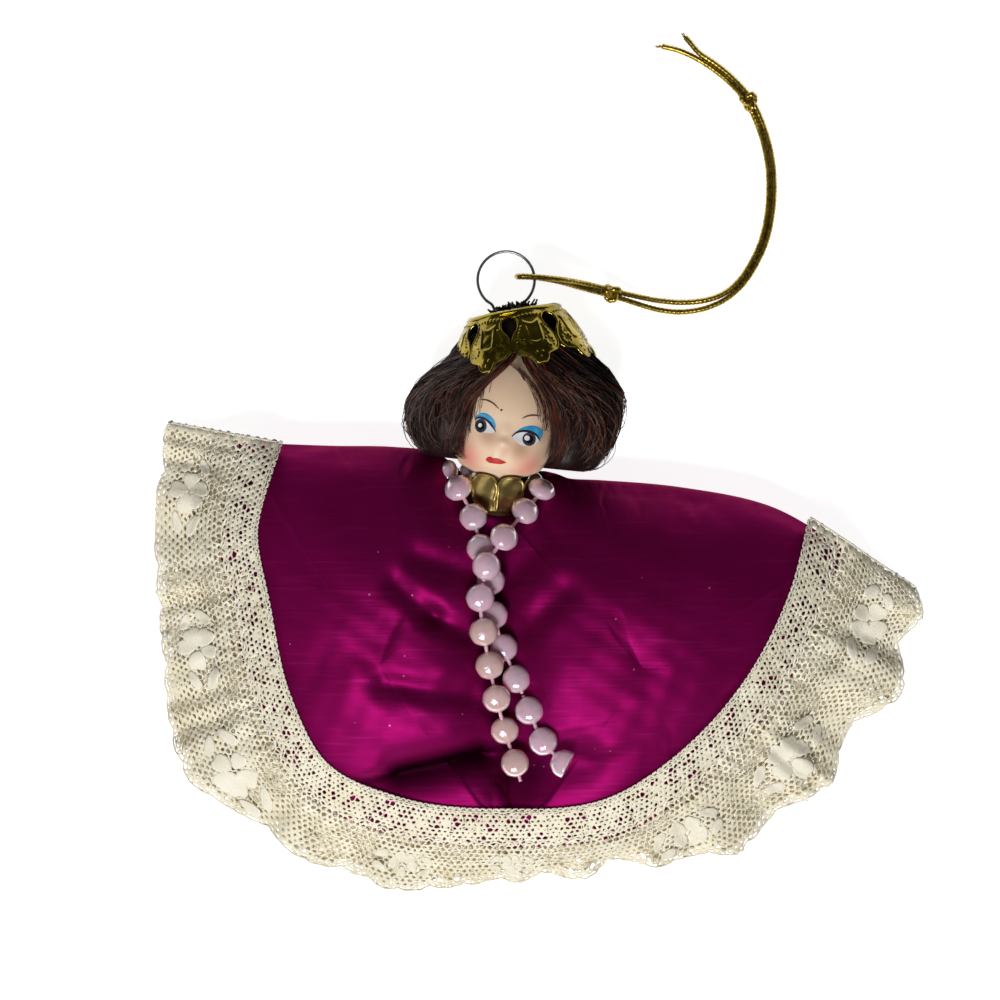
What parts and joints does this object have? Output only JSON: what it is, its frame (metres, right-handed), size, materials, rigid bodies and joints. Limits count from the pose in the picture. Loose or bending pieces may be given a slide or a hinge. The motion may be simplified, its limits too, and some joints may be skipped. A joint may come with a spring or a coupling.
{
  "type": "doll ornament",
  "caption": "Hanging doll ornament: a doll's head with wig, crown and collar in a stuffed satin cape with a lace edge, a bead string, a wire loop and a gold cord.",
  "frame": {"origin": "on the table, under the middle of the ornament's bounding box without its cord, with the ornament lying on its back", "axes": "+X to the viewer's right across the cape, +Y from the cape up to the crown, +Z out of the face, away from the table"},
  "size_m": [0.1541, 0.173, 0.0295],
  "materials": {
    "satin": "glossy satin weave",
    "stuffing": "loose fibre",
    "lace": "cotton net",
    "vinyl": "painted soft vinyl",
    "hair": "combed fibre",
    "gold": "stamped and polished",
    "wire": "drawn wire",
    "bead": "clear tinted gloss",
    "thread": "twisted thread",
    "gold_cord": "metallic braid"
  },
  "bodies": {
    "cape": {"cape_back": "satin", "cape_front_left": "satin", "cape_front_right": "satin", "stuffing": "stuffing", "lace_heading": "lace", "lace_ruffle": "lace", "neck_bead_01": "bead", "neck_bead_02": "bead", "neck_bead_03": "bead", "neck_bead_04": "bead", "neck_bead_05": "bead", "neck_bead_06": "bead", "neck_bead_07": "bead", "neck_bead_08": "bead", "neck_bead_09": "bead", "neck_bead_10": "bead", "neck_bead_11": "bead", "neck_bead_12": "bead", "neck_bead_13": "bead", "neck_bead_14": "bead", "neck_thread": "thread"},
    "head": {"head": "vinyl", "wig": "hair", "crown": "gold", "hanger_wire": "wire"},
    "collar": {"collar": "gold"},
    "cord": {"cord_end_knot": "gold_cord", "cord_end_lower": "gold_cord", "cord_end_upper": "gold_cord", "cord_loop": "gold_cord", "cord_loop_knot": "gold_cord", "cord_strand_lower": "gold_cord", "cord_strand_upper": "gold_cord"},
    "tail_a": {"tail_a_bead_1": "bead", "tail_a_bead_2": "bead", "tail_a_bead_3": "bead", "tail_a_bead_4": "bead", "tail_a_bead_5": "bead", "tail_a_bead_6": "bead", "tail_a_thread": "thread"},
    "tail_b": {"tail_b_bead_1": "bead", "tail_b_bead_2": "bead", "tail_b_bead_3": "bead", "tail_b_thread": "thread"}
  },
  "joints": [
    {"name": "head_turn", "type": "hinge", "parent": "cape", "child": "head", "pos_m": [-0.0092, 0.0122, 0.013], "axis": [0.1045, 0.9945, 0], "range_deg": [-25, 25]},
    {"name": "collar_turn", "type": "hinge", "parent": "cape", "child": "collar", "pos_m": [-0.0092, 0.0122, 0.013], "axis": [0.1045, 0.9945, 0], "continuous": true},
    {"name": "cord_swing", "type": "hinge", "parent": "head", "child": "cord", "pos_m": [-0.007, 0.059, 0.013], "axis": [0, 0, 1], "range_deg": [-10, 120]},
    {"name": "tail_a_lift", "type": "hinge", "parent": "cape", "child": "tail_a", "pos_m": [-0.01149, -0.00156, 0.02527], "axis": [-0.9809, 0.1944, 0], "range_deg": [0, 55]},
    {"name": "tail_b_lift", "type": "hinge", "parent": "cape", "child": "tail_b", "pos_m": [-0.0037, -0.02384, 0.02336], "axis": [-0.9237, -0.3831, 0], "range_deg": [0, 55]}
  ]
}
